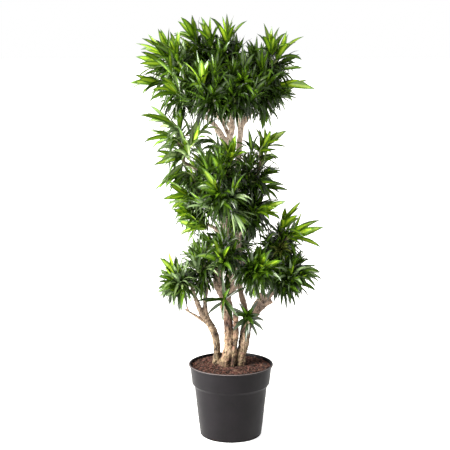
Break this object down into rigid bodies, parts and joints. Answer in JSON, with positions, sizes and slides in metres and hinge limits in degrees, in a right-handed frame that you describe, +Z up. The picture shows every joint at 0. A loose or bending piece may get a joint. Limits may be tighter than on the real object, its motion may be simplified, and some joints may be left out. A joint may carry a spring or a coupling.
{
  "type": "potted song of jamaica dracaena",
  "caption": "Green dracaena with crooked bare stems, tiers of narrow arching leaves in rosettes, and a plain dark grower's pot filled with coarse soil.",
  "frame": {"origin": "centre of the pot's flat underside, on the surface that it stands on", "axes": "+Z up along the pot's axis, -Y towards the viewer of the picture, +X to that viewer's right"},
  "size_m": [0.7644, 0.6616, 1.6774],
  "materials": {
    "pot_plastic": "matt dark grey moulded plastic with a slight sheen",
    "soil_mix": "coarse reddish brown bark and peat, matt",
    "stem_bark": "pale tan bark with brown fissures and scars, matt",
    "foliage": "narrow glossy green leaves, lime at the shoot tips"
  },
  "bodies": {
    "root": {"centre_knuckle": "stem_bark", "centre_sprig": "foliage", "centre_stem": "stem_bark", "cut_cane": "stem_bark", "left_bough": "stem_bark", "left_stem": "stem_bark", "left_twig": "stem_bark", "left_upright": "stem_bark", "low_back": "foliage", "low_back_bough": "stem_bark", "low_front": "foliage", "low_front_bough": "stem_bark", "low_left": "foliage", "low_left_inner": "foliage", "low_right": "foliage", "low_right_bough": "stem_bark", "low_right_front": "foliage", "low_right_top": "foliage", "low_right_top_bough": "stem_bark", "mid_back": "foliage", "mid_back_bough": "stem_bark", "mid_front": "foliage", "mid_front_bough": "stem_bark", "mid_left": "foliage", "mid_left_bough": "stem_bark", "mid_left_low": "foliage", "mid_left_low_bough": "stem_bark", "mid_right": "foliage", "mid_right_bough": "stem_bark", "mid_right_low": "foliage", "mid_right_low_bough": "stem_bark", "pot": "pot_plastic", "rear_stem": "stem_bark", "right_bough": "stem_bark", "right_sprig": "foliage", "right_stem": "stem_bark", "soil": "soil_mix", "top_back_left": "foliage", "top_back_left_bough": "stem_bark", "top_back_right": "foliage", "top_centre": "foliage", "top_front": "foliage", "top_front_bough": "stem_bark", "top_left": "foliage", "top_left_bough": "stem_bark", "top_right": "foliage", "top_right_bough": "stem_bark", "top_right_front": "foliage", "top_right_front_bough": "stem_bark"}
  },
  "joints": []
}
